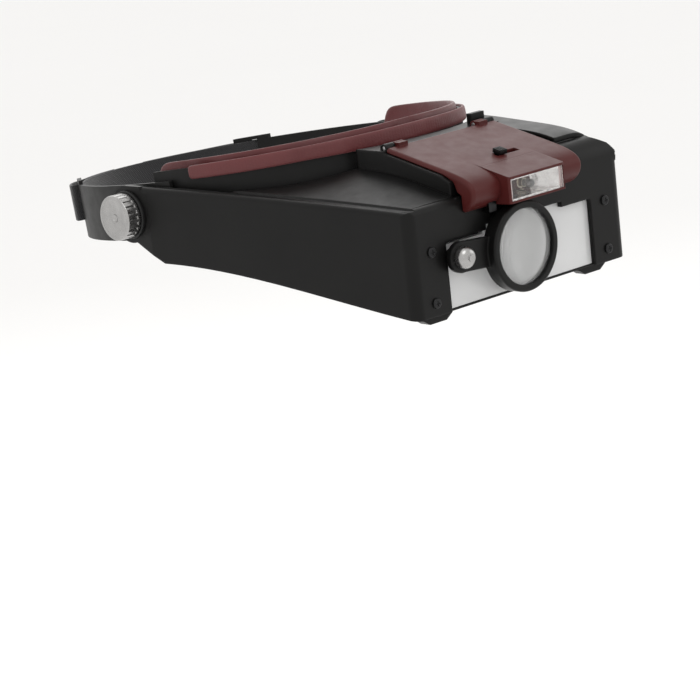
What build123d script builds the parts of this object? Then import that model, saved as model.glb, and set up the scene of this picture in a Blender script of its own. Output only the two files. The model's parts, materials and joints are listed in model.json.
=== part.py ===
"""Head visor magnifier: a tilting visor with lenses, lamp and battery box on an adjustable headband.

Millimetres. The origin is midway between the two tilt pivots, on their common axis.
+X is the wearer's left, -Y is the front, +Z is up. The visor is modelled closed and level.
"""
from build123d import *
from math import cos, radians, sin, tan
import os

# ---- driving dimensions -------------------------------------------------------------------------
# visor plan
ARM_HALF = 84.0          # outer face of each arm at the pivot
ARM_PAD = 14.0           # the arm runs straight this far either side of the pivot
FRONT_HALF = 66.7        # half width of the front
FRONT_Y = -167.0         # front face
WALL = 2.4
CORNER_R = 5.0           # upright front corners
EDGE_R = 2.0             # rounding of the outer top edges

# visor side outline, (y, z)
PIVOT_R = 13.4           # rounded arm end
TOP_EDGE = [(0, PIVOT_R), (-78, 11.8), (-135, 8.9), (-180, 7.6)]
BOTTOM_EDGE = [(-21, -21.7), (-72, -25.2), (-129, -33.7), (-180, -41.0)]
SKIRT_START = (-3.5, -12.9)

# roof
ROOF_T = 2.2
LEDGE_REAR, LEDGE_FRONT = 1.8, 3.4       # flat ledge outside the roof panel, at the arms and at the front
PANEL_STEP = 0.9         # the roof panel stands this far above the ledge
LOW_BROW, HIGH_BROW = (3.0, 5.5), (10.0, 7.6)     # rounding of each wing's front: radius, height of its axis
BOX_HALF = 36.5          # half width of the battery tray
HEAD_Y = -6.0            # centre of the head's plan
BROW_POWER = 2.4         # squareness of its front half, 2 being an ellipse
REAR_HALF, REAR_FRONT = 82.0, 107.0      # plan that the rear edge of the roof follows

# front window
WINDOW_HALF = 46.0
WINDOW_TOP = -8.7
NOTCH_X, NOTCH_TOP = (-21.0, 27.0), -6.2         # the middle of the window reaches higher
SCREW_X, SCREW_Z = 55.0, (-11.3, -33.5)

# battery tray and its cover
TRAY_FLOOR_Z = 3.0
TRAY_FRONT_Y = -163.0
TRAY_WALL = 1.8
DECK_Z = 26.4            # flat deck behind the cover
COVER_HALF = 34.5
COVER_REAR = (-124.0, 27.3)      # (y, z) of the cover's top rear edge
COVER_SLOPE = 13.2       # degrees, falling to the front
COVER_T = 1.8
HINGE_Y, HINGE_Z = -121.5, 27.0
HINGE_R, HINGE_PIN_R = 2.0, 1.1
CELL_R, CELL_LENGTH = 5.15, 44.4   # AAA cells
CELL_ROWS = {"rear_battery": -131.2, "front_battery": -142.6}
CELL_Z = TRAY_FLOOR_Z + TRAY_WALL + CELL_R + 0.05
CONTACT_X = (-29.0, 23.4)        # inner faces of the tray's contact ribs

# lamp
LAMP_HALF = 17.5
LAMP_FRONT_Y = -180.0
LAMP_BOTTOM_Z = 2.5
LAMP_WALL = 0.9
LAMP_ROOT_Y = -163.4     # the lamp housing starts here, in the cover's notch
LAMP_TOP_Z = 13.1        # top of the opening in the hood
LAMP_AXIS_Z = 8.2
NOSE_BEND_Y, NOSE_FRONT_Y = -157.0, -174.8   # where the cover's flat top ends, and its foremost line
NOSE_DROP = 1.4          # the nose has fallen this far below the flat top at LAMP_ROOT_Y
NOSE_LIP_Y = FRONT_Y - 0.5       # lower lip of the cover's rounded nose
SWITCH_X, SWITCH_Y = 6.2, -156.4
SLOT_LENGTH = 14.0

# lenses behind the window
LENS_HALF = 47.5
LENS_T = 2.4
LENS_TOP, LENS_BOTTOM = -5.9, -38.6
FRONT_LENS_Y = -164.4    # front face of the fixed lens
FLIP_Y = -158.4          # front face of the flip-up lens frame
FLIP_AXIS = (-156.6, -4.2)       # (y, z) of its hinge

# loupe
LOUPE_PIVOT = (-41.5, -16.0)     # (x, z)
LOUPE_CENTRE = (-6.0, -18.6)
LOUPE_R, LOUPE_LENS_R = 20.0, 16.9
LOUPE_BACK_Y, LOUPE_FRONT_Y = -168.2, -175.8
ARM_Y0, ARM_Y1 = -169.0, -171.6  # thin arm between pivot and ring
LOUPE_BOLT_R = 1.6

# headband, plans about (0, HEAD_Y): half width, reach to the front, reach to the rear
CARRIER = (76.6, 100.3, 108.0)   # outside of the plastic carrier
PLATE = (79.5, 103.2, 112.0)     # outside of the side plates
CARRIER_T, PLATE_T, STRIP_T, PAD_T = 1.4, 1.9, 2.2, 3.6
BAND_PITCH = 7.4         # degrees, front part nose-up
PLATE_PITCH = 6.5        # degrees, side plates and rear strap
STRIP_TOP, PAD_TOP = 18.2, 20.8  # above the pitched plane
STRAP_T, STRAP_WIDTH, STRAP_Z = 1.5, 17.6, 4.0
LOOP_GAP = 4.4           # the strap's outer layer stands this far outside the side plate
SLOT_Y = (69.0, 72.6)    # strap slot in the side plates
BOLT_R = 2.5             # tilt bolt
RUN = 0.06               # radial clearance of a running fit

SIDES = {"right": -1, "left": 1}         # the wearer's sides along X


# ---- helpers ------------------------------------------------------------------------------------
def block(x, y, z):
    """Box from three (low, high) pairs."""
    size = [high - low for low, high in (x, y, z)]
    return Pos((x[0] + x[1]) / 2, (y[0] + y[1]) / 2, (z[0] + z[1]) / 2) * Box(*size)


def rod_x(x0, x1, r, y=0.0, z=0.0):
    return Pos((x0 + x1) / 2, y, z) * Rot(0, 90, 0) * Cylinder(r, abs(x1 - x0))


def rod_y(y0, y1, r, x=0.0, z=0.0):
    return Pos(x, (y0 + y1) / 2, z) * Rot(90, 0, 0) * Cylinder(r, abs(y1 - y0))


def side_solid(edges, x0, x1):
    """Extrude a closed outline of the YZ plane from x0 to x1."""
    return Pos(x0, 0, 0) * extrude(Plane.YZ * make_face(edges), x1 - x0)


def cover_z(y):
    """Height of the cover's flat top at y."""
    return COVER_REAR[1] + tan(radians(COVER_SLOPE)) * (y - COVER_REAR[0])


def wall_x(y):
    """Half width of the visor's outside at y."""
    reach = max(0.0, -ARM_PAD - y) / (-ARM_PAD - FRONT_Y)
    return ARM_HALF - (ARM_HALF - FRONT_HALF) * reach


def edge_z(y):
    """Height of the visor's side edge, close to its outline spline."""
    return PIVOT_R - 0.0152 * -y - 0.00012 * y * y


def lid_place(x, y, lift=0.0):
    """A place on the cover's top, turned to its slope."""
    return Pos(x, y, cover_z(y)) * Rot(COVER_SLOPE, 0, 0) * Pos(0, 0, lift)


def head_face(half, front, rear):
    """Plan of the head grown outwards: a squarish brow in front, half an ellipse behind."""
    power = 2 / BROW_POWER
    turns = [radians(15 * i) for i in range(-6, 7)]
    brow = [(half * (abs(sin(t)) ** power) * (1 if t > 0 else -1), -front * max(cos(t), 0) ** power)
            for t in turns]
    edges = Spline(*brow, tangents=[(0, -1), (0, 1)])
    edges += EllipticalCenterArc((0, 0), half, rear, start_angle=0, arc_size=180)
    return make_face(edges)


def head_ring(plan, grow, t, z0, z1):
    """Upright wall of thickness t whose outside is the plan moved out by grow."""
    outer = [size + grow for size in plan]
    inner = [size - t for size in outer]
    wall = extrude(head_face(*outer), z1 - z0) - extrude(head_face(*inner), z1 - z0)
    return Pos(0, HEAD_Y, z0) * wall


# ---- visor --------------------------------------------------------------------------------------
def visor_plan(inset, rear):
    """Plan of the visor from its front to y = rear, inset on the three closed sides."""
    x_arm, x_front = ARM_HALF - inset, FRONT_HALF - inset
    y_front = FRONT_Y + inset
    outline = Polyline((-x_arm, rear), (-x_arm, -ARM_PAD), (-x_front, y_front),
                       (x_front, y_front), (x_arm, -ARM_PAD), (x_arm, rear), close=True)
    face = make_face(outline)
    front = face.vertices().sort_by(Axis.Y)[:2]
    return fillet(front, CORNER_R - inset)


def visor_outline():
    """Side outline of the visor: rounded arm end, long top and bottom edges."""
    top = Spline(*TOP_EDGE)
    bottom = Spline(*BOTTOM_EDGE)
    end = ThreePointArc((0, PIVOT_R), (PIVOT_R, 0), SKIRT_START)
    skirt = Line(SKIRT_START, BOTTOM_EDGE[0])
    front = Line(TOP_EDGE[-1], BOTTOM_EDGE[-1])
    return top + end + skirt + bottom + front


def roof_section(y, rise, rounding):
    """Upright slice of the roof at y: flat ledge, small step, then a panel crowned up to the tray."""
    x_out, z_out = wall_x(y), edge_z(y)
    x_step = x_out - EDGE_R - LEDGE_REAR + (LEDGE_FRONT - LEDGE_REAR) * y / -FRONT_Y
    x_panel, z_panel = x_step - 0.5, z_out + PANEL_STEP
    top = [(x_panel - (x_panel - BOX_HALF) * s, z_panel + (rise - PANEL_STEP) * (1 - (1 - s) ** rounding))
           for s in (0.0, 0.12, 0.28, 0.5, 0.75, 1.0)]
    low = [(x, z - ROOF_T) for x, z in top]
    outline = Polyline((x_out, z_out), (x_step, z_out + 0.1), top[0]) + Spline(*top)
    outline += Line(top[-1], low[-1]) + Spline(*low[::-1])
    outline += Polyline(low[0], (x_out, z_out - ROOF_T), (x_out, z_out))
    return Plane(origin=(0, y, 0), x_dir=(1, 0, 0), z_dir=(0, -1, 0)) * make_face(outline)


def roof_wing(rise_at, rounding, side):
    """Half of the roof, lofted through slices. rise_at pairs y with the height gained at the tray."""
    wing = loft([roof_section(y, rise, rounding) for y, rise in rise_at])
    radius, z = HIGH_BROW if side > 0 else LOW_BROW
    y = FRONT_Y + radius
    wing -= block((0, 90), (FRONT_Y - 9, y), (z, 60)) - rod_x(-1, 91, radius, y, z)
    return wing if side > 0 else mirror(wing, Plane.YZ)


def side_edge_rounding(side):
    """Cutter that rounds the outer top edge of one side."""
    slices = []
    for y in (-10, -50, -90, -130, -175):
        x, z, r = wall_x(y), edge_z(y) + 0.1, EDGE_R
        outline = ThreePointArc((x, z - r), (x - 0.29 * r, z - 0.29 * r), (x - r, z))
        outline += Polyline((x - r, z), (x - r, z + 1), (x + 1, z + 1), (x + 1, z - r), (x, z - r))
        slices.append(Plane(origin=(0, y, 0), x_dir=(1, 0, 0), z_dir=(0, -1, 0)) * make_face(outline))
    cutter = loft(slices)
    return cutter if side > 0 else mirror(cutter, Plane.YZ)


def visor_shell():
    """The black visor: arms, side walls, front with its window, and the crowned roof."""
    outline = side_solid(visor_outline(), -100, 100)
    shell = (extrude(visor_plan(0, 30), 60, both=True) - extrude(visor_plan(WALL, 60), 70, both=True))
    shell = shell & outline
    low_wing = roof_wing([(-20, 7.5), (-75, 8.6), (-104, 7.6), (-132, 6.6), (-156, 2.6), (-170, 1.0)],
                         1.15, -1)
    high_wing = roof_wing([(-20, 4.0), (-75, 12.2), (-104, 14.0), (-130, 14.0), (-150, 13.2),
                           (-162, 10.4), (-170, 6.4)], 6.5, 1)
    inside = extrude(visor_plan(0.6, 0), 60, both=True)
    shell += (low_wing & inside) - rear_cut()
    shell += (high_wing & inside) - rear_cut()
    radius, z_axis = HIGH_BROW
    inner = BOX_HALF + 0.1
    for z_low, depth in ((5, WALL), (9.6, 7.6)):
        brow = make_face(Polyline((inner, z_low), (inner, 17), (56, 17), (62, 13.6), (65, 9.7), (65, z_low), close=True))
        closing = extrude(Plane.XZ.offset(-FRONT_Y) * brow, -depth)
        shell += closing & rod_x(30, 70, radius, FRONT_Y + radius, z_axis)
    radius, z_axis = LOW_BROW
    front_edge = block((-90, BOX_HALF), (FRONT_Y - 1, FRONT_Y + radius), (z_axis, 20))
    shell -= front_edge - rod_x(-91, 91, radius, FRONT_Y + radius, z_axis)
    window_top = extrude(Plane.XZ.offset(-FRONT_Y - 10) * RectangleRounded(
        2 * WINDOW_HALF, 2 * 60, 1.6), 20)
    shell -= Pos(0, 0, WINDOW_TOP - 60) * window_top
    shell -= block(NOTCH_X, (FRONT_Y - 1, FRONT_Y + WALL + 1), (WINDOW_TOP - 1, NOTCH_TOP))
    ridge = block((-BOX_HALF, BOX_HALF), (FRONT_Y + 1, TRAY_FRONT_Y), (WINDOW_TOP + 4, 8.4))
    shell += ridge - block((-BOX_HALF, BOX_HALF), (FRONT_Y, TRAY_FRONT_Y + 5), (-10, TRAY_FLOOR_Z))
    for side in SIDES.values():
        for z in SCREW_Z:
            x = side * SCREW_X
            shell += rod_y(FRONT_Y + WALL, FRONT_Y + WALL + 0.2, 3.4, x, z)
            shell -= rod_y(FRONT_Y - 1, FRONT_Y + 6, 1.5, x, z)
        shell -= rod_x(side * 70, side * 90, BOLT_R + RUN)
        shell -= side_edge_rounding(side)
    return shell


def rear_cut():
    """Everything within the rear edge of the roof and tray, where the head goes."""
    return Pos(0, HEAD_Y, -50) * extrude(head_face(REAR_HALF, REAR_FRONT, REAR_FRONT), 150)


def battery_tray():
    """Black box on the roof: floor, walls, rear deck with hinge lugs. The cover closes its top."""
    rim = lambda y: cover_z(y) - COVER_T - 0.2
    outline = Polyline((-90, TRAY_FLOOR_Z), (-90, DECK_Z), (-123.6, DECK_Z), (-123.6, rim(-123.6)),
                       (NOSE_BEND_Y, rim(NOSE_BEND_Y)), (TRAY_FRONT_Y, rim(TRAY_FRONT_Y) - NOSE_DROP),
                       (TRAY_FRONT_Y, TRAY_FLOOR_Z), close=True)
    tray = side_solid(outline, -BOX_HALF, BOX_HALF)
    inner = BOX_HALF - TRAY_WALL
    tray -= block((-inner, inner), (TRAY_FRONT_Y + TRAY_WALL, -124.6), (TRAY_FLOOR_Z + TRAY_WALL, 60))
    under_deck = block((-inner, inner), (-122.8, -80), (TRAY_FLOOR_Z - 1, DECK_Z - 2 * TRAY_WALL))
    back = Pos(0, HEAD_Y, 0) * extrude(
        head_face(REAR_HALF + TRAY_WALL, REAR_FRONT + TRAY_WALL, REAR_FRONT), 60)
    tray -= under_deck - back
    tray -= rear_cut()
    for side in SIDES.values():
        lug_x = sorted((side * 28.4, side * 34.0))
        tray -= block(sorted((side * 22.0, side * 28.4)), (-124.9, -119.0), (DECK_Z - TRAY_WALL, 40))
        lug = rod_x(*lug_x, HINGE_R, HINGE_Y, HINGE_Z)
        lug += block(lug_x, (HINGE_Y - HINGE_R, HINGE_Y + HINGE_R), (DECK_Z - 0.6, HINGE_Z))
        tray += lug
        tray -= rod_x(side * 21, side * 34.5, HINGE_PIN_R, HINGE_Y, HINGE_Z)
    tray += block((24.5, 33.0), (-118.4, -115.6), (DECK_Z - 0.4, 31.6))      # stop for the open cover
    for x0, x1 in ((CONTACT_X[0] - 1.6, CONTACT_X[0]), (CONTACT_X[1], CONTACT_X[1] + 1.6)):
        tray += block((x0, x1), (-149.0, -124.6), (TRAY_FLOOR_Z + 1, 16.0))
    return tray


def lid_hinge_pins():
    """Two steel pins that the cover turns on, pressed into the tray's lugs."""
    return [rod_x(side * 22.2, side * 33.6, HINGE_PIN_R, HINGE_Y, HINGE_Z) for side in SIDES.values()]


def battery(y):
    """One AAA cell lying across the tray, with its raised positive cap."""
    cell = rod_x(-CELL_LENGTH / 2, CELL_LENGTH / 2 - 1.0, CELL_R, y, CELL_Z)
    cell = fillet(cell.edges(), 0.5)
    return cell + rod_x(CELL_LENGTH / 2 - 1.1, CELL_LENGTH / 2, 1.9, y, CELL_Z)


def contact_springs():
    """Two conical springs, each modelled as closed turns on a cross-shaped spine."""
    springs = []
    x_wall = CONTACT_X[0] + 0.5
    pitch = (-CELL_LENGTH / 2 - x_wall - 1.0) / 4
    for y in CELL_ROWS.values():
        spring = rod_x(x_wall, -CELL_LENGTH / 2, 0.5, y, CELL_Z)
        for i in range(5):
            r = 3.8 - 0.5 * i
            place = Pos(x_wall + 0.45 + pitch * i, y, CELL_Z)
            spring += place * Rot(0, 90, 0) * Torus(r, 0.45)
            spring += place * Box(0.6, 2 * r, 0.6)
        springs.append(spring)
    return springs


def contact_plate(side):
    """Thin plate on a contact rib, behind both cells' ends, with pips on the positive side."""
    x_rib = CONTACT_X[1] if side > 0 else CONTACT_X[0]
    plate = block(sorted((x_rib, x_rib - side * 0.5)), (-147.6, -126.2), (6.0, 15.0))
    if side > 0:
        for y in CELL_ROWS.values():
            plate += rod_x(CELL_LENGTH / 2, x_rib - 0.4, 1.9, y, CELL_Z)
    return plate


def front_lens_frame():
    """Black frame behind the front window that carries the fixed lens, with its thin lower bar."""
    y0, y1 = FRONT_Y + WALL + 0.2, FRONT_Y + WALL + 3.4
    frame = block((-59, 59), (y0, y1), (LENS_BOTTOM - 1.2, LENS_TOP + 1.1))
    frame -= block((-LENS_HALF, LENS_HALF), (FRONT_LENS_Y - 2, FRONT_LENS_Y + LENS_T), (LENS_BOTTOM, LENS_TOP))
    opening = LENS_HALF - 1.4
    frame -= block((-opening, opening), (y0 - 1, y1 + 1), (LENS_BOTTOM + 0.6, WINDOW_TOP))
    frame -= block(NOTCH_X, (y0 - 1, y1 + 1), (WINDOW_TOP - 1, NOTCH_TOP - 0.2))
    for side in SIDES.values():
        for z in SCREW_Z:
            frame -= rod_y(y0 - 1, y1 + 1, 1.5, side * SCREW_X, z)
    return frame


def front_lens():
    """Rectangular clear lens, bowed to the front, with a hole for the loupe's bolt."""
    lens = block((-LENS_HALF, LENS_HALF), (FRONT_LENS_Y, FRONT_LENS_Y + LENS_T), (LENS_BOTTOM, LENS_TOP))
    lens -= block((-LENS_HALF + 1.5, NOTCH_X[0]), (FRONT_LENS_Y - 1, FRONT_LENS_Y + 3), (-10.6, -5))
    return lens - rod_y(-170, -155, LOUPE_BOLT_R, *LOUPE_PIVOT)


def screw_y(x, z, y_head, y_end, r_head=2.3, r_shank=1.5):
    """Pan-head screw along Y with a cross slot, head at the front."""
    head = rod_y(y_head, y_head + 1.0, r_head, x, z)
    head = fillet(head.edges().sort_by(Axis.Y)[:1], 0.6)
    head -= Pos(x, y_head, z) * Box(2.4, 0.9, 0.5)
    head -= Pos(x, y_head, z) * Box(0.5, 0.9, 2.4)
    return head + rod_y(y_head + 0.9, y_end, r_shank, x, z)


def fascia_screws():
    return [screw_y(side * SCREW_X, z, FRONT_Y - 1.0, FRONT_Y + 5.6)
            for side in SIDES.values() for z in SCREW_Z]


def flip_hinge_brackets():
    """Two ears under the front of the roof that hold the flip-up lens's pin."""
    y, z = FLIP_AXIS
    ears = []
    for side in SIDES.values():
        x_range = sorted((side * 59.0, side * 61.4))
        ear = rod_x(*x_range, 3.0, y, z) + block(x_range, (FRONT_Y + WALL, y), (z - 3, z + 3))
        ears.append(ear - rod_x(side * 55, side * 66, 1.3, y, z))
    return ears


def flip_hinge_pin():
    """Steel rod through both ears and the flip-up frame."""
    return rod_x(-62.2, 62.2, 1.3, *FLIP_AXIS)


def loupe_bolt():
    """Bolt through the fixed lens that the loupe turns on: nut and washer behind, bush in front."""
    x, z = LOUPE_PIVOT
    bolt = rod_y(ARM_Y1 - 3.2, FRONT_LENS_Y + LENS_T + 3.0, LOUPE_BOLT_R, x, z)
    return bolt


def loupe_bush():
    x, z = LOUPE_PIVOT
    return rod_y(ARM_Y0 + 0.1, FRONT_LENS_Y, 3.4, x, z) - rod_y(-180, -150, LOUPE_BOLT_R, x, z)


def loupe_nut():
    x, z = LOUPE_PIVOT
    y0 = FRONT_LENS_Y + LENS_T
    nut = Pos(x, y0 + 1.1, z) * Rot(90, 0, 0) * extrude(RegularPolygon(3.0, 6), 1.1, both=True)
    return nut - rod_y(-180, -150, LOUPE_BOLT_R, x, z)


def loupe_knob():
    """Domed nickel cap nut in front of the loupe's arm."""
    x, z = LOUPE_PIVOT
    rim = ARM_Y1 - 0.1
    profile = Polyline((0, 0), (4.8, 0), (4.8, 2.0)) + ThreePointArc((4.8, 2.0), (3.5, 4.5), (1.5, 5.2))
    profile += Polyline((1.5, 5.2), (1.5, 5.8), (0, 5.8), (0, 0))
    dome = revolve(Plane.XY * make_face(profile), Axis.Y)
    knob = Pos(x, rim, z) * Rot(180, 0, 0) * dome
    return knob - rod_y(rim + 1, rim - 3.2, LOUPE_BOLT_R, x, z)


def arm_washer(side):
    """Black friction washer between the visor's arm and the knob."""
    washer = rod_x(side * ARM_HALF, side * (ARM_HALF + 1.5), 11.3)
    washer = fillet(washer.edges().sort_by(Axis.X)[-1 if side > 0 else 0], 0.6)
    return washer - rod_x(side * 70, side * 90, BOLT_R + RUN)


# ---- lid: cover, lamp and switch ---------------------------------------------------------------
def nose_curve(inset):
    """Side curve of the nose, from the end of the flat top to the lower lip."""
    slope = radians(COVER_SLOPE)
    bend_y = NOSE_BEND_Y
    bend = (bend_y, cover_z(bend_y) - inset / cos(slope))
    front = (NOSE_FRONT_Y + inset, 9.6)
    lip = (NOSE_LIP_Y, 1.4 + inset * 0.9)
    return Spline(bend, front, lip, tangents=[(-cos(slope), -sin(slope)), (0.9, -0.35)])


def battery_cover():
    """Maroon cover: sloping plate with a rounded nose that hangs over the front."""
    nose = nose_curve(0)
    rear_low = (COVER_REAR[0], COVER_REAR[1] - COVER_T)
    under = [(LAMP_ROOT_Y, cover_z(LAMP_ROOT_Y) - COVER_T - NOSE_DROP), (NOSE_BEND_Y, cover_z(NOSE_BEND_Y) - COVER_T)]
    corners = [nose @ 1, (NOSE_LIP_Y, 9.0), (-165.2, 10.4), *under, rear_low, COVER_REAR, nose @ 0]
    cover = side_solid(nose + Polyline(*corners), -COVER_HALF, COVER_HALF)
    long_sides = [e for e in cover.edges() if abs(abs(e.center().X) - COVER_HALF) < 0.01 and e.length > 20]
    outer_sides = [e for e in long_sides
                   if e.center().Z > cover_z(e.center().Y) - 1.2 or e.center().Y < -170]
    cover = fillet(outer_sides, 1.7)
    inner = nose_curve(COVER_T)
    half = COVER_HALF - COVER_T
    cover -= side_solid(inner + Polyline(inner @ 1, (NOSE_BEND_Y, (inner @ 1).Y), inner @ 0), -half, half)
    level = Polyline((-150, cover_z(-150)), (LAMP_ROOT_Y, cover_z(LAMP_ROOT_Y)), under[0], under[1],
                     (-150, cover_z(-150) - COVER_T), close=True)
    cover += side_solid(level, -LAMP_HALF, LAMP_HALF)
    cover -= block((-LAMP_HALF, LAMP_HALF), (-190, LAMP_ROOT_Y), (-5, 40))
    cover -= lid_place(SWITCH_X, SWITCH_Y) * Box(SLOT_LENGTH, 3.4, 12)
    cover -= block((-22.7, -17.8), (-171.7, -170.1), (-1, 12.2))
    for side in SIDES.values():
        x_range = sorted((side * 22.4, side * 28.0))
        arm = rod_x(*x_range, HINGE_R, HINGE_Y, HINGE_Z)
        arm += block(x_range, (-125.2, -123.9), (cover_z(-125.2) - COVER_T + 0.2, HINGE_Z))
        arm += block(x_range, (-125.2, HINGE_Y), (HINGE_Z - 1.2, HINGE_Z + HINGE_R - 0.3))
        cover += arm - rod_x(side * 20, side * 36, HINGE_PIN_R + RUN, HINGE_Y, HINGE_Z)
    return cover


def lamp_housing():
    """Maroon hood that carries on the cover's slope, open at the front."""
    top_back, top_front = cover_z(LAMP_ROOT_Y), cover_z(LAMP_FRONT_Y)
    outline = Polyline((LAMP_ROOT_Y, top_back), (LAMP_FRONT_Y, top_front), (LAMP_FRONT_Y, LAMP_BOTTOM_Z),
                       (NOSE_LIP_Y, LAMP_BOTTOM_Z - 0.6), (NOSE_LIP_Y, 10.0), (LAMP_ROOT_Y, 10.0), close=True)
    hood = side_solid(outline, -LAMP_HALF, LAMP_HALF)
    uprights = hood.edges().filter_by(Axis.Z).filter_by(lambda e: e.center().Y < LAMP_FRONT_Y + 0.01)
    hood = fillet(uprights, 1.2)
    half = LAMP_HALF - LAMP_WALL
    hood -= block((-half, half), (LAMP_FRONT_Y - 1, -169.2), (LAMP_BOTTOM_Z + LAMP_WALL, LAMP_TOP_Z))
    return hood - rod_y(-175, -160, 2.6, 0, LAMP_AXIS_Z)


def lamp_reflector():
    """Reflector pan filling the hood: a wide tapered mouth around the bulb."""
    half = LAMP_HALF - LAMP_WALL - 0.1
    y_back, y_front = -169.3, LAMP_FRONT_Y + 1.9
    pan = block((-half, half), (y_front, y_back), (LAMP_BOTTOM_Z + LAMP_WALL + 0.1, LAMP_TOP_Z - 0.1))
    mouth = Pos(0, 0, LAMP_AXIS_Z) * (Plane.XZ.offset(-y_front) * Rectangle(2 * half - 3.6, 8.2))
    throat = Pos(0, 0, LAMP_AXIS_Z) * (Plane.XZ.offset(-y_back - 1.2) * Rectangle(9, 5))
    pan -= loft([mouth, throat])
    return pan - rod_y(-175, -160, 2.1, 0, LAMP_AXIS_Z)


def lamp_bulb():
    """Small lens-end bulb: glass envelope on a metal collar."""
    glass = rod_y(-175.2, -171.4, 1.7, 0, LAMP_AXIS_Z) + Pos(0, -175.2, LAMP_AXIS_Z) * Sphere(1.7)
    return glass


def bulb_holder():
    """Brass collar that the bulb screws into, through the hood's back wall."""
    return rod_y(-171.4, -167.7, 2.0, 0, LAMP_AXIS_Z) + rod_y(-169.2, -167.7, 2.55, 0, LAMP_AXIS_Z)


def lamp_window():
    """Clear plate in the mouth of the hood."""
    half = LAMP_HALF - LAMP_WALL - 0.1
    return block((-half, half), (LAMP_FRONT_Y + 0.5, LAMP_FRONT_Y + 1.7),
                 (LAMP_BOTTOM_Z + LAMP_WALL + 0.1, LAMP_TOP_Z - 0.1))


def lid_latch():
    """Spring tongue under the nose with a small bright hook that grips the front wall."""
    tongue = block((-22.5, -18.0), (-171.5, -170.3), (2.2, 12.0))
    hook = block((-22.5, -18.0), (-171.5, NOSE_LIP_Y - 0.2), (-0.6, 0.9))
    joiner = block((-22.5, -18.0), (-171.5, -170.3), (-0.6, 2.2))
    return tongue + hook + joiner


def switch_body():
    """Slide switch's metal case, held under the cover."""
    case = lid_place(SWITCH_X, SWITCH_Y, -COVER_T - 2.6) * Box(17, 7.0, 4.2)
    return case - lid_place(SWITCH_X, SWITCH_Y, -COVER_T - 0.5) * Box(SLOT_LENGTH - 2, 3.0, 1.6)


def switch_slider():
    """Black ribbed thumb piece; its neck runs in the cover's slot."""
    x = SWITCH_X - 4.0
    pad = lid_place(x, SWITCH_Y, 1.35) * Box(4.4, 4.6, 2.0)
    for i in (-1, 0, 1):
        pad -= lid_place(x + 1.3 * i, SWITCH_Y, 2.4) * Box(0.6, 5.0, 1.0)
    neck = lid_place(x, SWITCH_Y, -0.7) * Box(3.0, 2.4, 2.4)
    return pad + neck


# ---- flip-up lens -------------------------------------------------------------------------------
def foot_outline():
    """Finger tab below the lens: flat top, drooping rounded toe."""
    return Polyline((41, -40.3), (58, -40.3), (58, -41.4), (54.5, -43.7), (44.5, -43.7), (41, -41.4),
                    close=True)


def flip_lens_frame():
    """Black frame of the second lens: hinged at the top, with two finger tabs below."""
    y0, y1 = FLIP_Y, FLIP_Y + 2.6
    y_pin, z_pin = FLIP_AXIS
    frame = block((-58.5, 58.5), (y0, y1), (-40.3, -7.6))
    frame -= block((-53, 53), (y0 - 1, y1 + 1), (-36.8, -11.6))
    frame -= block((-54.2, 54.2), (y0 + 0.7, y1 - 0.5), (-38.0, -10.4))
    barrel = rod_x(-58.5, 58.5, 2.6, y_pin, z_pin) + block((-58.5, 58.5), (y0 + 0.2, y1), (-9, z_pin))
    frame += barrel
    for side in SIDES.values():
        toe = extrude(Plane.XZ * make_face(foot_outline()), 2.9, both=True)
        toe = Pos(0, (y0 + y1) / 2 - 1.4, 0) * (toe if side > 0 else mirror(toe, Plane.YZ))
        frame += toe
    return frame - rod_x(-70, 70, 1.3 + RUN, y_pin, z_pin)


def flip_lens():
    """Thin clear lens plate sprung into the flip-up frame."""
    return block((-54.1, 54.1), (FLIP_Y + 0.75, FLIP_Y + 2.05), (-37.9, -10.5))


# ---- loupe --------------------------------------------------------------------------------------
def loupe_arm():
    """Black ring and arm in one moulding."""
    (x0, z0), (x1, z1) = LOUPE_PIVOT, LOUPE_CENTRE
    ring = rod_y(LOUPE_BACK_Y, LOUPE_FRONT_Y, LOUPE_R, x1, z1)
    ring = fillet(ring.edges().filter_by(GeomType.CIRCLE), 0.9)
    web = rod_y(ARM_Y0, ARM_Y1, 6.8, x0, z0)
    web += Pos((x0 + x1) / 2, (ARM_Y0 + ARM_Y1) / 2, (z0 + z1) / 2) * Rot(0, 4.2, 0) * Box(
        x1 - x0, ARM_Y0 - ARM_Y1, 13.2)
    arm = ring + web
    arm -= rod_y(-180, -160, LOUPE_LENS_R, x1, z1)
    arm -= rod_y(-170.7, -173.7, LOUPE_LENS_R + 1.0, x1, z1)
    return arm - rod_y(-180, -160, LOUPE_BOLT_R + RUN, x0, z0)


def loupe_lens():
    """Double-convex glass disc with a narrow rim."""
    x, z = LOUPE_CENTRE
    r, rim, bulge = LOUPE_LENS_R + 0.9, 2.0, 2.0
    ball_r = (r * r + bulge * bulge) / (2 * bulge)
    y_mid, y_ball = -172.2, ball_r - bulge - rim / 2
    lens = rod_y(y_mid - 5, y_mid + 5, r, x, z)
    lens = lens & Pos(x, y_mid + y_ball, z) * Sphere(ball_r)
    return lens & Pos(x, y_mid - y_ball, z) * Sphere(ball_r)


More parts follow.
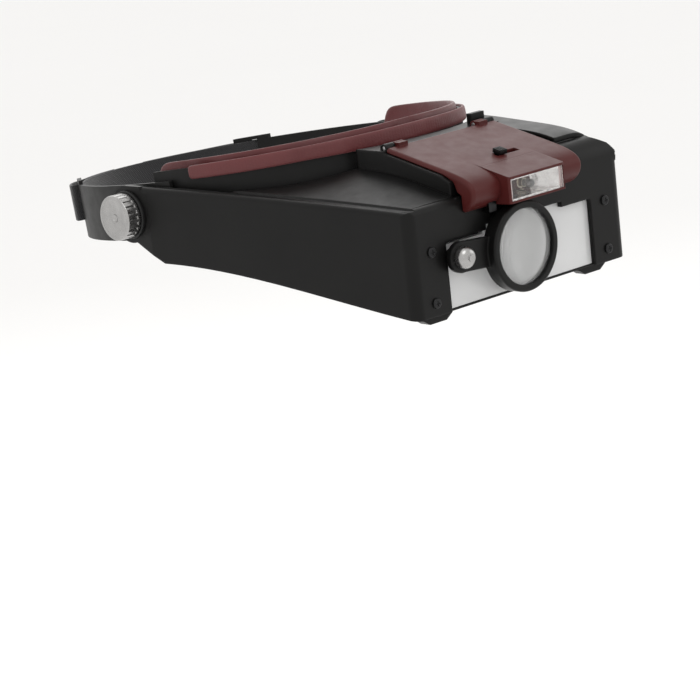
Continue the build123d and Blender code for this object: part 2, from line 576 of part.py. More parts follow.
# ---- tilt knobs ---------------------------------------------------------------------------------
def tilt_knob(side):
    """Nickel knob with a fluted rim, a slightly dished face and a dimple in the middle."""
    x0, x1 = ARM_HALF + 1.6, ARM_HALF + 9.0
    knob = rod_x(x0, x1, 10.5)
    knob = fillet(knob.edges().filter_by(GeomType.CIRCLE), 0.7)
    for i in range(24):
        knob -= Rot(15 * i, 0, 0) * Pos((x0 + x1) / 2 + 0.5, 0, 11.1) * Rot(0, 90, 0) * Cylinder(
            1.0, x1 - x0 - 2.4)
    dish = 60.0          # radius of the dished face
    knob -= (Pos(x1 - 0.7 + dish, 0, 0) * Sphere(dish)) & rod_x(x1 - 2, x1 + 2, 8.8)
    dimple = Pos(x1 + 0.4, 0, 0) * Sphere(2.2)
    knob -= dimple
    knob -= rod_x(x0 - 1, x1 - 2.5, BOLT_R + RUN)
    return knob if side > 0 else mirror(knob, Plane.YZ)


def tilt_bolt(side):
    """Round-head bolt from inside the side plate, through the visor's arm, into the knob."""
    x_plate = PLATE[0] - PLATE_T
    bolt = rod_x(side * (x_plate - 2.4), side * x_plate, 5.0)
    bolt = fillet(bolt.edges().sort_by(Axis.X)[0 if side > 0 else -1], 1.2)
    return bolt + rod_x(side * (x_plate - 0.5), side * (ARM_HALF + 6.0), BOLT_R)


def spacer_washer(side):
    """Fibre washer on the bolt between the side plate and the visor's arm."""
    x0, x1 = PLATE[0], ARM_HALF - WALL - 0.1
    washer = rod_x(side * x0, side * x1, 9.5)
    return washer - rod_x(side * 70, side * 90, BOLT_R)


# ---- headband -----------------------------------------------------------------------------------
def arc_wall(plan, grow, t, z_range, y_range, pitch):
    """Wall along a head plan, kept between two y values, pitched about the tilt axis."""
    wall = head_ring(plan, grow, t, *z_range) & block((-130, 130), y_range, (-80, 80))
    return Rot(-pitch, 0, 0) * wall


def one_side(shape, side, x_range=(10, 130)):
    return shape & block(sorted(side * x for x in x_range), (-200, 200), (-90, 90))


def below_strip():
    """Everything below the lower edge of the leatherette strip, in the pitched frame."""
    low = [(-116, -40), (-30, -40)]
    edge = Spline((-30, 12.1), (-45, 11.8), (-70, 11.6), (-92, 11.6), (-104, 11.0), (-116, 10.0))
    return side_solid(edge + Polyline(edge @ 1, *low, edge @ 0), -130, 130)


def front_band():
    """Maroon leatherette strip across the forehead, a little narrower towards its cut ends."""
    strip = head_ring(CARRIER, STRIP_T, STRIP_T, 0, STRIP_TOP) & block((-130, 130), (-130, -38), (-80, 80))
    return Rot(-BAND_PITCH, 0, 0) * (strip - below_strip())


def band_carrier():
    """Springy black plastic arc that joins the side plates across the forehead."""
    return arc_wall(CARRIER, 0, CARRIER_T, (-7, 17.2), (-130, -14), BAND_PITCH)


def sweatband_pad():
    """Soft maroon liner inside the carrier, from temple to temple, showing above the strip."""
    return arc_wall(CARRIER, -CARRIER_T - 0.1, PAD_T, (-8, PAD_TOP), (-130, -10), BAND_PITCH)


def side_plate(side):
    """Curved black plate from the temple to the strap's slot, carrying the tilt bolt."""
    plate = head_ring(PLATE, 0, PLATE_T, -13, 14.9) & block((-130, 130), (-27, 79), (-80, 80))
    plate -= block((-130, 130), (-40, 64), (13, 20))
    z_slot = (STRAP_Z - STRAP_WIDTH / 2 - 0.4, STRAP_Z + STRAP_WIDTH / 2 + 0.4)
    plate -= block((-130, 130), SLOT_Y, z_slot)
    plate = one_side(Rot(-PLATE_PITCH, 0, 0) * plate, side)
    plate -= rod_x(side * 60, side * 90, BOLT_R)
    return plate - rod_x(side * 70, side * (PLATE[0] - PLATE_T), 5.1)


def strap_wall(grow, t, y_range, trim=0.0):
    """Part of the strap's run along the side plates' plan, in their pitched frame."""
    half = STRAP_WIDTH / 2 - trim
    return arc_wall(PLATE, grow, t, (STRAP_Z - half, STRAP_Z + half), y_range, PLATE_PITCH)


def rear_strap():
    """Black webbing round the back of the head, on the inside of both side plates."""
    return strap_wall(-PLATE_T - 0.1, STRAP_T, (66, 140))


def strap_tail(side):
    """The strap's end, brought out through the slot and folded back on the outside."""
    return one_side(strap_wall(LOOP_GAP, STRAP_T, (70, 140)), side)


def strap_fold(side):
    """Turned end of the webbing in the slot, joining the inner and outer layers."""
    return one_side(strap_wall(LOOP_GAP - STRAP_T, LOOP_GAP + PLATE_T - 1.4, (70.0, 71.8)), side)


def hook_patch(side):
    """Hook-and-loop patch between the strap's two layers."""
    patch = strap_wall(LOOP_GAP - STRAP_T - 0.1, LOOP_GAP + PLATE_T - 1.6, (88, 140), trim=1.0)
    return one_side(patch, side, (14, 44))


def band_rivets():
    """Tubular rivets that pin the carrier to the side plates."""
    rivets = []
    for side in SIDES.values():
        for z in (-3.0, 7.5):
            x = PLATE[0] - 0.4
            rivets.append(rod_x(side * (x - 4.0), side * (x + 0.4), 1.3, -20.5, z))
    return rivets


# ---- write --------------------------------------------------------------------------------------
def parts():
    made = {
        "visor_shell": visor_shell(),
        "battery_tray": battery_tray(),
        "lid_hinge_pins": lid_hinge_pins(),
        "contact_springs": contact_springs(),
        "positive_contact": contact_plate(1),
        "negative_contact": contact_plate(-1),
        "front_lens_frame": front_lens_frame(),
        "front_lens": front_lens(),
        "fascia_screws": fascia_screws(),
        "flip_hinge_brackets": flip_hinge_brackets(),
        "flip_hinge_pin": flip_hinge_pin(),
        "loupe_bolt": loupe_bolt(),
        "loupe_bush": loupe_bush(),
        "loupe_nut": loupe_nut(),
        "loupe_knob": loupe_knob(),
        "battery_cover": battery_cover(),
        "lamp_housing": lamp_housing(),
        "lamp_reflector": lamp_reflector(),
        "lamp_bulb": lamp_bulb(),
        "bulb_holder": bulb_holder(),
        "lamp_window": lamp_window(),
        "lid_latch": lid_latch(),
        "switch_body": switch_body(),
        "switch_slider": switch_slider(),
        "flip_lens_frame": flip_lens_frame(),
        "flip_lens": flip_lens(),
        "loupe_arm": loupe_arm(),
        "loupe_lens": loupe_lens(),
        "front_band": front_band(),
        "band_carrier": band_carrier(),
        "sweatband_pad": sweatband_pad(),
        "rear_strap": rear_strap(),
        "band_rivets": band_rivets(),
    }
    made.update({name: battery(y) for name, y in CELL_ROWS.items()})
    for name, side in SIDES.items():
        made[name + "_arm_washer"] = arm_washer(side)
        made[name + "_tilt_knob"] = tilt_knob(side)
        made[name + "_tilt_bolt"] = tilt_bolt(side)
        made[name + "_spacer_washer"] = spacer_washer(side)
        made[name + "_side_plate"] = side_plate(side)
        made[name + "_strap_tail"] = strap_tail(side)
        made[name + "_strap_fold"] = strap_fold(side)
        made[name + "_hook_patch"] = hook_patch(side)
    return made


def write(name, shape):
    solids = [s for item in (shape if isinstance(shape, list) else [shape]) for s in item.solids()]
    body = solids[0] if len(solids) == 1 else Compound(children=solids)
    export_step(body, os.path.join("parts", name + ".step"))


os.makedirs("parts", exist_ok=True)
for part_name, part_shape in parts().items():
    write(part_name, part_shape)
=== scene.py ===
import json
import math

import bpy
from mathutils import Matrix, Vector


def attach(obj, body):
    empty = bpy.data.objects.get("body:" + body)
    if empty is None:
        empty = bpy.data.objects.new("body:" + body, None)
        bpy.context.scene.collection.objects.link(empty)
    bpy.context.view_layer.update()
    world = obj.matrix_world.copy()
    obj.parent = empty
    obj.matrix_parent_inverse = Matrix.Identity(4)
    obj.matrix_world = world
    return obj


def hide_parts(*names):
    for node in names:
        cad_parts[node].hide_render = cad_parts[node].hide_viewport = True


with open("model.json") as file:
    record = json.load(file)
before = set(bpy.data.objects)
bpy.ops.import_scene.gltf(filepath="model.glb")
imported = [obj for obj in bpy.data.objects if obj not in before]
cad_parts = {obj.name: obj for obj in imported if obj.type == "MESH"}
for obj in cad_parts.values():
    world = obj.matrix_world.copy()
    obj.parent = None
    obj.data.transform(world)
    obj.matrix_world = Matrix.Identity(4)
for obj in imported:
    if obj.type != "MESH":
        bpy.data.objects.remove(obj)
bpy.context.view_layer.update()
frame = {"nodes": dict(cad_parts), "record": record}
MM = 0.001

# headband layout, millimetres, in the frame pitched about the tilt axis
HEAD_Y = -6.0
BROW_POWER = 2.4
CARRIER = (76.6, 100.3)          # half width and forward reach of the plastic arc's outside
PLATE = (79.5, 112.0)            # half width and rearward reach of the side plates' outside
BAND_PITCH, PLATE_PITCH = 7.4, 6.5
LINER_DEPTH, LINER_Z, LINER_MID = (-4.9, -1.75), (-7.6, 20.5), 8.0
STRIP_DEPTH, STRIP_TOP = (0.05, 2.1), 18.1
STRIP_EDGE = [(-116, 10.0), (-104, 11.0), (-92, 11.6), (-70, 11.6), (-45, 11.8), (-30, 12.1)]
STRAP_Z, STRAP_HALF, STRAP_HALF_T = 4.0, 8.7, 0.7
INSIDE, OUTSIDE = -2.75, 3.65    # middle of the strap's two layers, out from the plates' outside
TAIL_REST, TAIL_TURN = -0.4, (26.0, 13.0)    # the tail's end lies here, then lifts over these degrees
PILE_HALF, PILE_HALF_T = 7.6, 0.42
SIDES = (("right", -1), ("left", 1))


# ---- materials ----------------------------------------------------------------------------------
def new_material(name):
    mat = bpy.data.materials.new(name)
    mat.use_nodes = True
    tree = mat.node_tree
    return mat, tree, tree.nodes["Principled BSDF"]


def node(tree, kind, inputs=None, **attrs):
    made = tree.nodes.new(kind)
    for key, value in attrs.items():
        setattr(made, key, value)
    for key, value in (inputs or {}).items():
        if isinstance(value, bpy.types.NodeSocket):
            tree.links.new(value, made.inputs[key])
        else:
            made.inputs[key].default_value = value
    return made


def coords(tree, kind="Object"):
    return node(tree, "ShaderNodeTexCoord").outputs[kind]


def noise(tree, vector, scale, detail=3.0, roughness=0.55):
    made = node(tree, "ShaderNodeTexNoise",
                {"Vector": vector, "Scale": scale, "Detail": detail, "Roughness": roughness})
    return made.outputs["Fac"]


def remap(tree, value, low, high):
    made = node(tree, "ShaderNodeMapRange", {"Value": value, "From Min": 0.25, "From Max": 0.75,
                                             "To Min": low, "To Max": high})
    return made.outputs["Result"]


def math_node(tree, operation, a, b=None):
    inputs = {0: a}
    if b is not None:
        inputs[1] = b
    return node(tree, "ShaderNodeMath", inputs, operation=operation).outputs[0]


def mix_colour(tree, factor, a, b):
    made = node(tree, "ShaderNodeMix", data_type="RGBA")
    for socket, value in ((made.inputs[0], factor), (made.inputs[6], a), (made.inputs[7], b)):
        if isinstance(value, bpy.types.NodeSocket):
            tree.links.new(value, socket)
        else:
            socket.default_value = value if isinstance(value, float) else (*value, 1.0)
    return made.outputs[2]


def set_surface(tree, shader, height=None, strength=0.1, distance=0.0003, edge=0.0):
    """Bump from height over rounded CAD edges."""
    normal = None
    if edge:
        normal = node(tree, "ShaderNodeBevel", {"Radius": edge}, samples=6).outputs[0]
    if height is not None:
        bump = node(tree, "ShaderNodeBump",
                    {"Height": height, "Strength": strength, "Distance": distance})
        if normal is not None:
            tree.links.new(normal, bump.inputs["Normal"])
        normal = bump.outputs[0]
    if normal is not None:
        tree.links.new(normal, shader.inputs["Normal"])


def plastic(name, colour, shade, rough, specular, grain=2600.0, strength=0.12, edge=0.0005):
    """Moulded plastic: fine grain, faint uneven gloss, a slightly cloudy colour."""
    mat, tree, shader = new_material(name)
    at = coords(tree)
    cloud = noise(tree, at, 28.0, 4.0)
    tree.links.new(mix_colour(tree, remap(tree, cloud, 0.0, 1.0), colour, shade),
                   shader.inputs["Base Color"])
    tree.links.new(remap(tree, noise(tree, at, 160.0, 5.0), rough - 0.05, rough + 0.06),
                   shader.inputs["Roughness"])
    shader.inputs["Specular IOR Level"].default_value = specular
    set_surface(tree, shader, noise(tree, at, grain, 2.0), strength, 0.00012, edge)
    return mat


def metal(name, colour, rough, edge=0.0003, scratch=900.0, strength=0.06):
    mat, tree, shader = new_material(name)
    at = coords(tree)
    shader.inputs["Metallic"].default_value = 1.0
    darker = tuple(c * 0.82 for c in colour)
    tree.links.new(mix_colour(tree, remap(tree, noise(tree, at, 220.0), 0.0, 1.0), colour, darker),
                   shader.inputs["Base Color"])
    tree.links.new(remap(tree, noise(tree, at, 420.0, 5.0), rough - 0.06, rough + 0.07),
                   shader.inputs["Roughness"])
    set_surface(tree, shader, noise(tree, at, scratch, 3.0), strength, 0.0001, edge)
    return mat


def clear(name, colour, transmission, rough, ior, edge=0.0002, haze=0.04):
    mat, tree, shader = new_material(name)
    at = coords(tree)
    shader.inputs["Transmission Weight"].default_value = transmission
    shader.inputs["IOR"].default_value = ior
    faint = tuple(c * 0.96 for c in colour)
    tree.links.new(mix_colour(tree, remap(tree, noise(tree, at, 30.0), 0.0, 1.0), colour, faint),
                   shader.inputs["Base Color"])
    tree.links.new(remap(tree, noise(tree, at, 60.0, 4.0), rough, rough + haze),
                   shader.inputs["Roughness"])
    set_surface(tree, shader, edge=edge)
    return mat


def leatherette(name, colour, shade, rib, rough=0.5):
    """Grained vinyl with fine ribs across the strip. Its own UV map holds metres along and across."""
    mat, tree, shader = new_material(name)
    at = coords(tree)
    uv = node(tree, "ShaderNodeSeparateXYZ", {0: coords(tree, "UV")})
    ribs = math_node(tree, "SINE", math_node(tree, "MULTIPLY", uv.outputs[0], 2 * math.pi / 0.0016))
    ribs = math_node(tree, "MULTIPLY", ribs, rib * 0.5)
    grain = node(tree, "ShaderNodeTexVoronoi", {"Vector": at, "Scale": 1500.0}).outputs["Distance"]
    height = math_node(tree, "ADD", ribs, math_node(tree, "MULTIPLY", grain, 0.9))
    tone = math_node(tree, "ADD", remap(tree, noise(tree, at, 45.0, 5.0), 0.1, 0.8),
                     math_node(tree, "MULTIPLY", ribs, 0.3))
    tree.links.new(mix_colour(tree, tone, colour, shade), shader.inputs["Base Color"])
    tree.links.new(remap(tree, noise(tree, at, 240.0, 4.0), rough - 0.07, rough + 0.08),
                   shader.inputs["Roughness"])
    shader.inputs["Specular IOR Level"].default_value = 0.45
    shader.inputs["Sheen Weight"].default_value = 0.1
    shader.inputs["Sheen Roughness"].default_value = 0.4
    shader.inputs["Sheen Tint"].default_value = (0.95, 0.7, 0.72, 1.0)
    set_surface(tree, shader, height, 0.35, 0.0002)
    return mat


def webbing(name, colour, shade):
    """Woven tape: warp and weft from the piece's own UV map in metres."""
    mat, tree, shader = new_material(name)
    uv = node(tree, "ShaderNodeSeparateXYZ", {0: coords(tree, "UV")})
    warp = math_node(tree, "SINE", math_node(tree, "MULTIPLY", uv.outputs[1], 2 * math.pi / 0.0015))
    weft = math_node(tree, "SINE", math_node(tree, "MULTIPLY", uv.outputs[0], 2 * math.pi / 0.0011))
    weave = math_node(tree, "MULTIPLY", warp, weft)
    height = math_node(tree, "ADD", weave, math_node(tree, "ABSOLUTE", warp))
    fuzz = noise(tree, coords(tree), 2400.0, 4.0)
    tone = math_node(tree, "ADD", math_node(tree, "MULTIPLY", weave, 0.3), fuzz)
    tree.links.new(mix_colour(tree, tone, colour, shade), shader.inputs["Base Color"])
    tree.links.new(remap(tree, fuzz, 0.72, 0.9), shader.inputs["Roughness"])
    shader.inputs["Sheen Weight"].default_value = 0.3
    shader.inputs["Specular IOR Level"].default_value = 0.25
    set_surface(tree, shader, height, 0.6, 0.00025)
    return mat


def pile(name, colour, shade):
    """Hook-and-loop pile: dense short bristles."""
    mat, tree, shader = new_material(name)
    at = coords(tree)
    spots = node(tree, "ShaderNodeTexVoronoi", {"Vector": at, "Scale": 1100.0}).outputs["Distance"]
    tree.links.new(mix_colour(tree, spots, colour, shade), shader.inputs["Base Color"])
    tree.links.new(remap(tree, noise(tree, at, 600.0), 0.8, 0.95), shader.inputs["Roughness"])
    shader.inputs["Sheen Weight"].default_value = 0.4
    set_surface(tree, shader, spots, 0.9, 0.0004)
    return mat


def reflector(name):
    """Vacuum-silvered pan broken into small facets, with a pale rim at both ends."""
    mat, tree, shader = new_material(name)
    at = coords(tree)
    x = node(tree, "ShaderNodeSeparateXYZ", {0: at}).outputs[0]
    rim = math_node(tree, "GREATER_THAN", math_node(tree, "ABSOLUTE", x), 0.0148)
    cells = node(tree, "ShaderNodeTexVoronoi", {"Vector": at, "Scale": 230.0, "Randomness": 0.6})
    silver = mix_colour(tree, noise(tree, at, 300.0), (0.82, 0.81, 0.8), (0.6, 0.58, 0.57))
    tree.links.new(mix_colour(tree, rim, silver, (0.8, 0.62, 0.6)), shader.inputs["Base Color"])
    tree.links.new(math_node(tree, "SUBTRACT", 1.0, rim), shader.inputs["Metallic"])
    tree.links.new(remap(tree, noise(tree, at, 500.0), 0.12, 0.22), shader.inputs["Roughness"])
    set_surface(tree, shader, cells.outputs["Distance"], 0.55, 0.0012)
    return mat


def jacket(name):
    """Cell jacket: dark wrap with a metallic band towards the positive end."""
    mat, tree, shader = new_material(name)
    at = coords(tree)
    x = node(tree, "ShaderNodeSeparateXYZ", {0: at}).outputs[0]
    band = math_node(tree, "GREATER_THAN", x, 0.008)
    worn = noise(tree, at, 90.0)
    copper = mix_colour(tree, worn, (0.5, 0.27, 0.12), (0.42, 0.22, 0.1))
    dark = mix_colour(tree, worn, (0.02, 0.02, 0.022), (0.035, 0.035, 0.037))
    tree.links.new(mix_colour(tree, band, dark, copper), shader.inputs["Base Color"])
    shader.inputs["Metallic"].default_value = 0.4
    tree.links.new(remap(tree, worn, 0.28, 0.36), shader.inputs["Roughness"])
    return mat


FLOOR_SHADE = (0.93, 0.93, 0.93)
materials = {
    "black_plastic": plastic("black_plastic", (0.0032, 0.0031, 0.0031), (0.0055, 0.0054, 0.0053),
                             0.38, 0.18, edge=0.0012),
    "band_plastic": plastic("band_plastic", (0.0045, 0.0045, 0.0045), (0.0075, 0.0074, 0.0073),
                            0.45, 0.2),
    "washer_black": plastic("washer_black", (0.007, 0.007, 0.007), (0.011, 0.011, 0.011), 0.5, 0.3),
    "maroon_plastic": plastic("maroon_plastic", (0.058, 0.0085, 0.008), (0.07, 0.012, 0.011), 0.42, 0.2,
                              2200.0, 0.14, 0.0006),
    "maroon_leatherette": leatherette("maroon_leatherette", (0.088, 0.0135, 0.0145),
                                      (0.128, 0.026, 0.028), 0.3),
    "liner_foam": leatherette("liner_foam", (0.07, 0.0068, 0.008), (0.098, 0.0115, 0.013), 0.0, 0.42),
    "webbing": webbing("webbing", (0.009, 0.009, 0.01), (0.024, 0.024, 0.026)),
    "hook_and_loop": pile("hook_and_loop", (0.012, 0.012, 0.013), (0.03, 0.03, 0.032)),
    "nickel": metal("nickel", (0.44, 0.435, 0.43), 0.27),
    "steel": metal("steel", (0.56, 0.56, 0.57), 0.32),
    "clear_acrylic": clear("clear_acrylic", (0.86, 0.865, 0.87), 0.35, 0.05, 1.49),
    "optical_glass": clear("optical_glass", (0.93, 0.935, 0.935), 0.8, 0.01, 1.52, 0.0002, 0.02),
    "reflector_silver": reflector("reflector_silver"),
    "brass_collar": metal("brass_collar", (0.62, 0.56, 0.46), 0.3),
    "black_steel": metal("black_steel", (0.035, 0.035, 0.036), 0.34),
    "cell_jacket": jacket("cell_jacket"),
}
lamp_clear = clear("lamp_clear", (0.95, 0.95, 0.95), 1.0, 0.0, 1.46, 0.0, 0.02)


def paint(obj, mat):
    obj.data.materials.clear()
    obj.data.materials.append(mat)


for entry in frame["record"]["subparts"]:
    paint(frame["nodes"][entry["node"]], materials[entry["material_slot"]])
paint(frame["nodes"]["lamp_window"], lamp_clear)


# ---- building soft pieces -----------------------------------------------------------------------
def pitched(x, y, z, degrees):
    """Point given in millimetres in a frame pitched nose-up, as metres in the row frame."""
    a = math.radians(degrees)
    return Vector((x, y * math.cos(a) + z * math.sin(a), -y * math.sin(a) + z * math.cos(a))) * MM


def mesh_piece(name, verts, faces, uvs=None):
    mesh = bpy.data.meshes.new(name)
    mesh.from_pydata(verts, [], faces)
    if uvs is not None:
        layer = mesh.uv_layers.new(name="along")
        for loop in mesh.loops:
            layer.data[loop.index].uv = uvs[loop.vertex_index]
    mesh.shade_smooth()
    mesh.update()
    obj = bpy.data.objects.new(name, mesh)
    bpy.context.scene.collection.objects.link(obj)
    return obj


def resample(points, step):
    """Even points along a plan polyline, a little smoothed, and the polyline's length."""
    for _ in range(3):
        inner = [((a[0] + 2 * b[0] + c[0]) / 4, (a[1] + 2 * b[1] + c[1]) / 4)
                 for a, b, c in zip(points, points[1:], points[2:])]
        points = [points[0], *inner, points[-1]]
    lengths = [0.0]
    for a, b in zip(points, points[1:]):
        lengths.append(lengths[-1] + math.dist(a, b))
    count = max(2, round(lengths[-1] / step))
    out, k = [], 0
    for i in range(count + 1):
        s = lengths[-1] * i / count
        while k < len(points) - 2 and lengths[k + 1] < s:
            k += 1
        t = (s - lengths[k]) / max(1e-9, lengths[k + 1] - lengths[k])
        a, b = points[k], points[k + 1]
        out.append((a[0] * (1 - t) + b[0] * t, a[1] * (1 - t) + b[1] * t))
    return out, lengths[-1]


def sweep(name, path, section, pitch):
    """Carry a closed section along a plan path.

    section(s, length, y) gives the ring of (outwards, z) points at distance s along the path.
    """
    points, length = path
    verts, uvs, rings = [], [], len(points)
    for i, (x, y) in enumerate(points):
        ax, ay = points[max(0, i - 1)]
        bx, by = points[min(rings - 1, i + 1)]
        run = math.hypot(bx - ax, by - ay)
        nx, ny = (by - ay) / run, -(bx - ax) / run
        ring = section(i / (rings - 1) * length, length, y)
        size = len(ring)
        for u, z in ring:
            verts.append(pitched(x + nx * u, y + ny * u, z, pitch))
            uvs.append((i / (rings - 1) * length * MM, z * MM))
    faces = [(i * size + j, i * size + (j + 1) % size,
              (i + 1) * size + (j + 1) % size, (i + 1) * size + j)
             for i in range(rings - 1) for j in range(size)]
    faces.append(tuple(range(size))[::-1])
    faces.append(tuple((rings - 1) * size + j for j in range(size)))
    return mesh_piece(name, verts, faces, uvs)


def pad_section(u0, u1, z0, z1, power, count=26):
    """Rounded closed section between two depths and two heights."""
    uc, zc, ru, rz = (u0 + u1) / 2, (z0 + z1) / 2, (u1 - u0) / 2, (z1 - z0) / 2
    ring = []
    for j in range(count):
        a = 2 * math.pi * j / count
        c, s = math.cos(a), math.sin(a)
        ring.append((uc + ru * math.copysign(abs(c) ** (2 / power), c),
                     zc + rz * math.copysign(abs(s) ** (2 / power), s)))
    return ring


def tape_section(half_t, z0, z1, rows=8):
    """Flat tape with softly rounded edges."""
    zs = [z0 + 0.35 + (z1 - z0 - 0.7) * j / (rows - 1) for j in range(rows)]
    outer = [(half_t, z) for z in zs]
    inner = [(-half_t, z) for z in zs[::-1]]
    top = [(half_t * 0.6, z1), (-half_t * 0.6, z1)]
    bottom = [(-half_t * 0.6, z0), (half_t * 0.6, z0)]
    return [*outer, *top, *inner, *bottom]


def brow_path(grow, y_end, step):
    """Plan of the front of the band from the wearer's right temple to the left one."""
    half, front, power = CARRIER[0] + grow, CARRIER[1] + grow, 2 / BROW_POWER
    points = []
    for i in range(-400, 401):
        t = math.radians(90) * i / 400
        y = HEAD_Y - front * max(math.cos(t), 0.0) ** power
        if y <= y_end:
            points.append((half * math.copysign(abs(math.sin(t)) ** power, t), y))
    return resample(points, step)


def swell(obj, pressure, cap):
    """Blow the closed pad up a little with a cloth simulation, then keep the result."""
    start = [v.co.copy() for v in obj.data.vertices]
    cloth = obj.modifiers.new("Cloth", "CLOTH")
    settings = cloth.settings
    settings.quality = 5
    settings.mass = 0.02
    settings.use_pressure = True
    settings.uniform_pressure_force = pressure
    settings.tension_stiffness = settings.compression_stiffness = 12
    settings.bending_stiffness = 0.4
    settings.effector_weights.gravity = 0
    scene = bpy.context.scene
    for f in range(1, 21):
        scene.frame_set(f)
    result = obj.evaluated_get(bpy.context.evaluated_depsgraph_get()).data
    moved = [v.co.copy() for v in result.vertices]
    obj.modifiers.remove(cloth)
    scene.frame_set(1)
    for v, a, b in zip(obj.data.vertices, start, moved):
        step = b - a
        if step.length > cap:
            step = step * (cap / step.length)
        v.co = a + step
    obj.data.update()


def soften(obj, levels=1):
    mod = obj.modifiers.new("Subdivision", "SUBSURF")
    mod.levels = mod.render_levels = levels


def end_roundness(s, length, radius):
    """1 along the run, falling to a small value at the two rounded ends."""
    gap = min(s, length - s)
    if gap >= radius:
        return 1.0
    return max(0.12, math.sqrt(max(0.0, 1 - (1 - gap / radius) ** 2)))


def strip_low(y):
    """Height of the strip's lower edge at y, eased between the points of STRIP_EDGE."""
    for (y0, z0), (y1, z1) in zip(STRIP_EDGE, STRIP_EDGE[1:]):
        if y <= y1:
            t = max(0.0, (y - y0) / (y1 - y0))
            t = t * t * (3 - 2 * t) * 0.3 + t * 0.7
            return z0 + (z1 - z0) * t
    return STRIP_EDGE[-1][1]


# ---- liner: padded roll inside the carrier, showing above the strip ------------------------------
def liner_section(s, length, y):
    fat = end_roundness(s, length, 9.0)
    z0, z1 = LINER_Z
    mid = LINER_MID
    return pad_section(*LINER_DEPTH, mid - (mid - z0) * fat, mid + (z1 - mid) * fat, 3.4)


liner = sweep("liner_pad", brow_path(0.0, -10.5, 3.2), liner_section, BAND_PITCH)
paint(liner, materials["liner_foam"])
swell(liner, 4.0, 0.0012)
soften(liner)
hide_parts("sweatband_pad")
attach(liner, "headband")


# ---- leatherette strip over the carrier ----------------------------------------------------------
def strip_section(s, length, y):
    return pad_section(*STRIP_DEPTH, strip_low(y) + 0.1, STRIP_TOP, 3.2, 30)


strip = sweep("leatherette_strip", brow_path(0.0, -38.0, 2.6), strip_section, BAND_PITCH)
paint(strip, materials["maroon_leatherette"])
swell(strip, 3.0, 0.0006)
soften(strip)
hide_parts("front_band")
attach(strip, "headband")


# ---- webbing: one strap, folded back through both side plates -----------------------------------
def plate_point(y, grow, side):
    share = min(1.0, abs(y - HEAD_Y) / (PLATE[1] + grow))
    return (side * (PLATE[0] + grow) * math.sqrt(1 - share * share), y)


def rear_point(turn, grow, side):
    a = math.radians(turn)
    return (side * (PLATE[0] + grow) * math.sin(a), HEAD_Y + (PLATE[1] + grow) * math.cos(a))


def tail_lift(turn):
    """How far out the folded tail runs: down on the inner layer at its end, over the slot bar later."""
    start, span = TAIL_TURN
    t = min(1.0, max(0.0, (turn - start) / span))
    return TAIL_REST + (OUTSIDE - TAIL_REST) * t * t * (3 - 2 * t)


def half_strap(side):
    """Plan points from the tail's end round the slot to the middle of the back."""
    points = []
    for i in range(60):
        turn = 7.0 + 35.0 * i / 59
        points.append(rear_point(turn, tail_lift(turn), side))
    bend = ((76.5, 3.65), (74.5, 3.6), (72.9, 3.3), (71.5, 2.6), (70.9, 1.6), (70.8, 0.4),
            (70.9, -0.8), (71.5, -1.8), (72.9, -2.5), (74.5, -2.72), (76.5, -2.75))
    points += [plate_point(y, grow, side) for y, grow in bend]
    points += [rear_point(42.0 - 42.0 * i / 60, INSIDE, side) for i in range(61)]
    return points


right_half, left_half = half_strap(-1), half_strap(1)
strap_path = resample(right_half + left_half[::-1][1:], 1.0)
strap_ring = tape_section(STRAP_HALF_T, STRAP_Z - STRAP_HALF, STRAP_Z + STRAP_HALF)
strap = sweep("strap_webbing", strap_path, lambda s, length, y: strap_ring, PLATE_PITCH)
paint(strap, materials["webbing"])
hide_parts("rear_strap", "right_strap_tail", "left_strap_tail",
            "right_strap_fold", "left_strap_fold")
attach(strap, "headband")

pile_ring = tape_section(PILE_HALF_T, STRAP_Z - PILE_HALF, STRAP_Z + PILE_HALF)
for name, side in SIDES:
    path = resample([rear_point(11.0 + 15.0 * i / 40, -1.55, side) for i in range(41)], 1.2)
    patch = sweep(name + "_pile", path, lambda s, length, y: pile_ring, PLATE_PITCH)
    paint(patch, materials["hook_and_loop"])
    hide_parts(name + "_hook_patch")
    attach(patch, "headband")


# ---- stitches ------------------------------------------------------------------------------------
def stitches(name, places, mat, radius=0.22 * MM):
    """Short thread dashes between pairs of points, as one mesh."""
    verts, faces = [], []
    for a, b, out in places:
        along = (b - a).normalized()
        side = along.cross(out).normalized()
        base = len(verts)
        for k, (t, lift) in enumerate(((0.0, -0.6), (0.25, 0.7), (0.75, 0.7), (1.0, -0.6))):
            centre = a.lerp(b, t) + out * radius * lift
            for j in range(6):
                ang = math.pi * j / 3
                verts.append(centre + (side * math.cos(ang) + out * math.sin(ang)) * radius)
        for k in range(3):
            for j in range(6):
                p, q = base + 6 * k + j, base + 6 * k + (j + 1) % 6
                faces.append((p, q, q + 6, p + 6))
        faces.append(tuple(base + j for j in range(6))[::-1])
        faces.append(tuple(base + 18 + j for j in range(6)))
    obj = mesh_piece(name, verts, faces)
    paint(obj, mat)
    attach(obj, "headband")
    return obj


def row_of_stitches(path_at, first, last, pitch, dash):
    """Dashes from turn first to turn last, in degrees; path_at(turn) gives (point, outward)."""
    places, turn = [], first
    while turn + dash <= last:
        (a, out), (b, _) = path_at(turn), path_at(turn + dash)
        places.append((a, b, out))
        turn += pitch
    return places


def on_outer_tape(side, z):
    """Surface function of one tail's outer face at height z."""
    def at(turn):
        grow = tail_lift(turn) + STRAP_HALF_T + 0.02
        x, y = rear_point(turn, grow, side)
        x1, y1 = rear_point(turn, grow + 1.0, side)
        p, q = pitched(x, y, z, PLATE_PITCH), pitched(x1, y1, z, PLATE_PITCH)
        return p, (q - p).normalized()
    return at


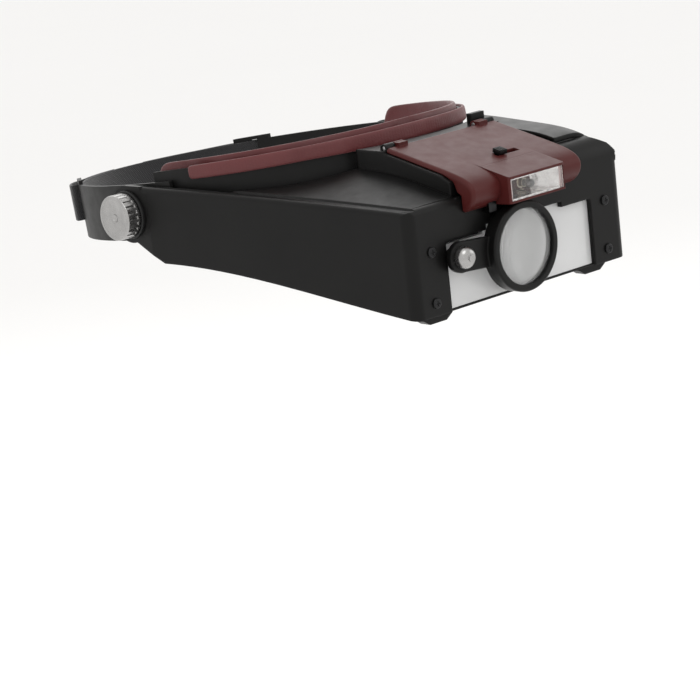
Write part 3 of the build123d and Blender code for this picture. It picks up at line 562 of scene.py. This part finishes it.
thread = webbing("thread", (0.02, 0.02, 0.022), (0.045, 0.045, 0.048))
for name, side in SIDES:
    rows = []
    for z in (STRAP_Z - 6.6, STRAP_Z + 6.6):
        rows += row_of_stitches(on_outer_tape(side, z), 9.0, 26.0, 1.4, 1.0)
    stitches(name + "_tail_stitches", rows, thread)


# ---- floor, light, camera ------------------------------------------------------------------------
def stage_floor():
    bpy.ops.mesh.primitive_plane_add(size=14.0, location=(0, 0, -0.42))
    floor = bpy.context.object
    floor.name = "floor"
    mat, tree, shader = new_material("floor")
    at = coords(tree)
    darker = tuple(c * 0.985 for c in FLOOR_SHADE)
    tree.links.new(mix_colour(tree, noise(tree, at, 2.0), FLOOR_SHADE, darker),
                   shader.inputs["Base Color"])
    tree.links.new(remap(tree, noise(tree, at, 3.0), 0.85, 0.95), shader.inputs["Roughness"])
    shader.inputs["Specular IOR Level"].default_value = 0.1
    paint(floor, mat)


def soft_light(name, place, target, size, power):
    data = bpy.data.lights.new(name, "AREA")
    data.shape, data.size, data.size_y = "RECTANGLE", size[0], size[1]
    data.energy = power
    lamp = bpy.data.objects.new(name, data)
    bpy.context.scene.collection.objects.link(lamp)
    lamp.location = place
    lamp.rotation_mode = "QUATERNION"
    lamp.rotation_quaternion = (Vector(place) - Vector(target)).to_track_quat("Z", "Y")


stage_floor()
world = bpy.data.worlds.new("studio")
world.use_nodes = True
world.node_tree.nodes["Background"].inputs[0].default_value = (1.0, 0.99, 0.975, 1.0)
world.node_tree.nodes["Background"].inputs[1].default_value = 1.0
bpy.context.scene.world = world
bpy.context.scene.view_settings.view_transform = "Standard"
middle = (0.0, -0.06, 0.0)
soft_light("key", (-0.5, -0.9, 1.5), middle, (1.1, 1.1), 6.0)
soft_light("top", (0.75, 0.9, 0.75), middle, (1.5, 0.9), 4.5)
soft_light("fill", (1.4, -0.9, 0.5), middle, (0.9, 0.9), 2.0)

lens = bpy.data.cameras.new("camera")
lens.lens, lens.sensor_width, lens.clip_start = 140.6, 36.0, 0.01
camera = bpy.data.objects.new("camera", lens)
bpy.context.scene.collection.objects.link(camera)
right, up, back = (Vector((0.7250, -0.6805, -0.1067)), Vector((0.2374, 0.1015, 0.9661)),
                   Vector((-0.6466, -0.7257, 0.2351)))
turn = Matrix((right, up, back)).transposed().to_4x4()
turn.translation = (-0.8380, -0.9876, 0.2246)
camera.matrix_world = turn
bpy.context.scene.camera = camera
